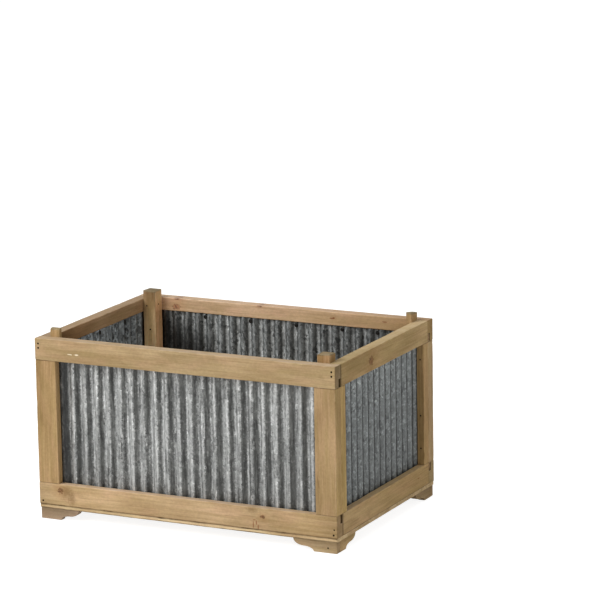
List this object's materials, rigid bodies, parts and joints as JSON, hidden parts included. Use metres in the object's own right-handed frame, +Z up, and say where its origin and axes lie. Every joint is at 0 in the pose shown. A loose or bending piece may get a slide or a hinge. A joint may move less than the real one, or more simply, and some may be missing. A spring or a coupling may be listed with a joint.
{
  "type": "planter box",
  "caption": "Rectangular planter box: softwood frame with butted rails, corrugated zinc walls held in rabbets, a board floor, corner posts and scrolled bracket feet.",
  "frame": {"origin": "on the ground, under the middle of the box", "axes": "+X along the length to the right of the front, +Y from the front to the back, +Z up"},
  "size_m": [0.56, 0.3886, 0.3282],
  "materials": {
    "rail_wood": "satin stained softwood",
    "stile_wood": "satin stained softwood",
    "post_wood": "matte sawn softwood",
    "foot_wood": "matte softwood",
    "floor_wood": "matte raw softwood",
    "zinc": "aged galvanised sheet",
    "brad_steel": "dull stained steel",
    "nail_steel": "blackened steel"
  },
  "bodies": {
    "root": {"front_top_rail": "rail_wood", "front_bottom_rail": "rail_wood", "front_panel": "zinc", "front_panel_nail_1": "nail_steel", "front_panel_nail_2": "nail_steel", "front_panel_nail_3": "nail_steel", "front_panel_nail_4": "nail_steel", "front_panel_nail_5": "nail_steel", "front_left_stile": "stile_wood", "front_left_foot": "foot_wood", "front_left_upper_brad": "brad_steel", "front_left_lower_brad": "brad_steel", "front_left_base_brad": "brad_steel", "front_right_stile": "stile_wood", "front_right_foot": "foot_wood", "front_right_upper_brad": "brad_steel", "front_right_lower_brad": "brad_steel", "front_right_base_brad": "brad_steel", "right_top_rail": "rail_wood", "right_bottom_rail": "rail_wood", "right_panel": "zinc", "right_panel_nail_1": "nail_steel", "right_panel_nail_2": "nail_steel", "right_front_strip": "stile_wood", "right_front_foot": "foot_wood", "right_back_strip": "stile_wood", "right_back_foot": "foot_wood", "back_top_rail": "rail_wood", "back_bottom_rail": "rail_wood", "back_panel": "zinc", "back_panel_nail_1": "nail_steel", "back_panel_nail_2": "nail_steel", "back_panel_nail_3": "nail_steel", "back_panel_nail_4": "nail_steel", "back_panel_nail_5": "nail_steel", "back_right_stile": "stile_wood", "back_right_foot": "foot_wood", "back_right_upper_brad": "brad_steel", "back_right_lower_brad": "brad_steel", "back_right_base_brad": "brad_steel", "back_left_stile": "stile_wood", "back_left_foot": "foot_wood", "back_left_upper_brad": "brad_steel", "back_left_lower_brad": "brad_steel", "back_left_base_brad": "brad_steel", "left_top_rail": "rail_wood", "left_bottom_rail": "rail_wood", "left_panel": "zinc", "left_panel_nail_1": "nail_steel", "left_panel_nail_2": "nail_steel", "left_back_strip": "stile_wood", "left_back_foot": "foot_wood", "left_front_strip": "stile_wood", "left_front_foot": "foot_wood", "floor_board": "floor_wood", "front_left_post": "post_wood", "front_right_post": "post_wood", "back_left_post": "post_wood", "back_right_post": "post_wood"}
  },
  "joints": []
}
